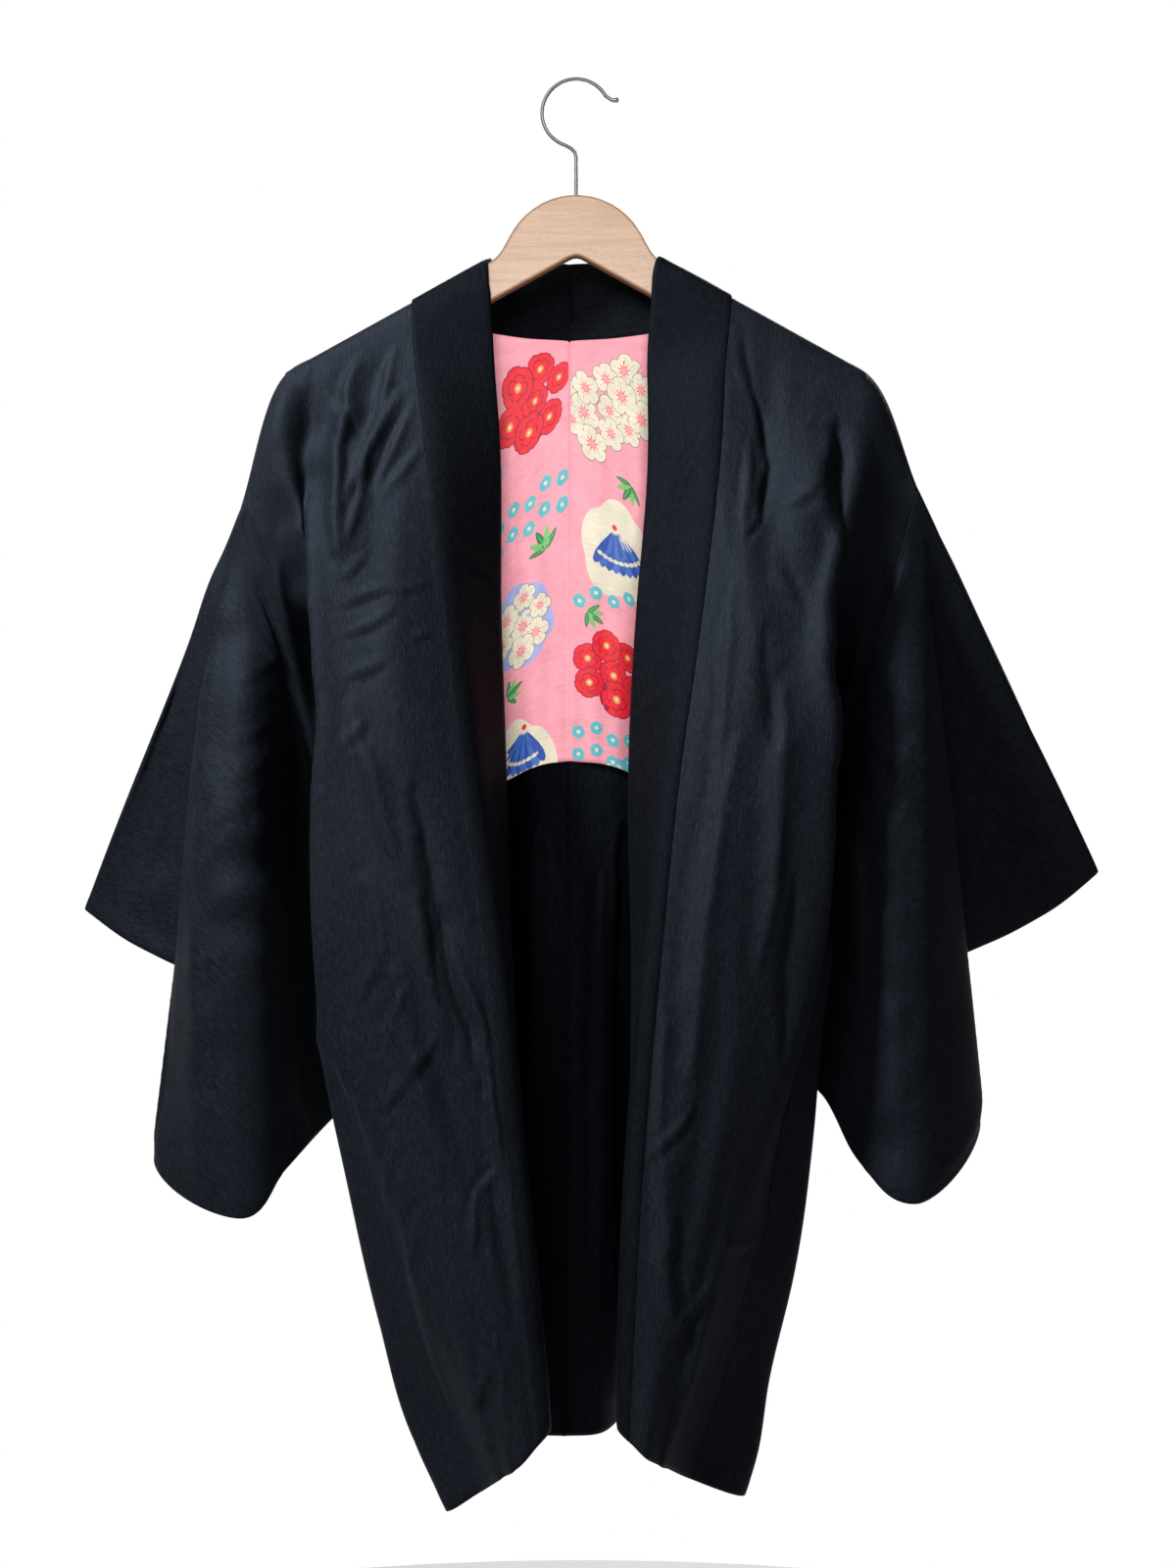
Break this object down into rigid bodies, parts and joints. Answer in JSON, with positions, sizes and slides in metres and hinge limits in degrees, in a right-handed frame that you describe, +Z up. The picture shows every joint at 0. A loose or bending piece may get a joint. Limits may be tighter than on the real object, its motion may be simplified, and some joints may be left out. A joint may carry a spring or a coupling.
{
  "type": "haori jacket on hanger",
  "caption": "Open-fronted dark crepe haori with a long collar band, bag sleeves and printed back lining, hanging on a plain wooden hanger with a wire hook.",
  "frame": {"origin": "inside top of the hanger's wire hook, where it rests on a rail", "axes": "+Z up, the front of the jacket faces -Y, +X towards the wearer's left sleeve"},
  "size_m": [0.765, 0.2223, 0.9971],
  "materials": {
    "black_crepe": "fine matt crepe, blue-black",
    "printed_silk": "pink silk with a floral print, satin",
    "beech": "pale beech, satin lacquer",
    "steel_wire": "bright nickel-plated wire"
  },
  "bodies": {
    "root": {"body_right": "black_crepe", "body_left": "black_crepe", "gusset_right": "black_crepe", "gusset_left": "black_crepe", "sleeve_right": "black_crepe", "sleeve_left": "black_crepe", "collar": "black_crepe", "lining_right": "printed_silk", "lining_left": "printed_silk", "hanger": "beech", "hook": "steel_wire"}
  },
  "joints": []
}
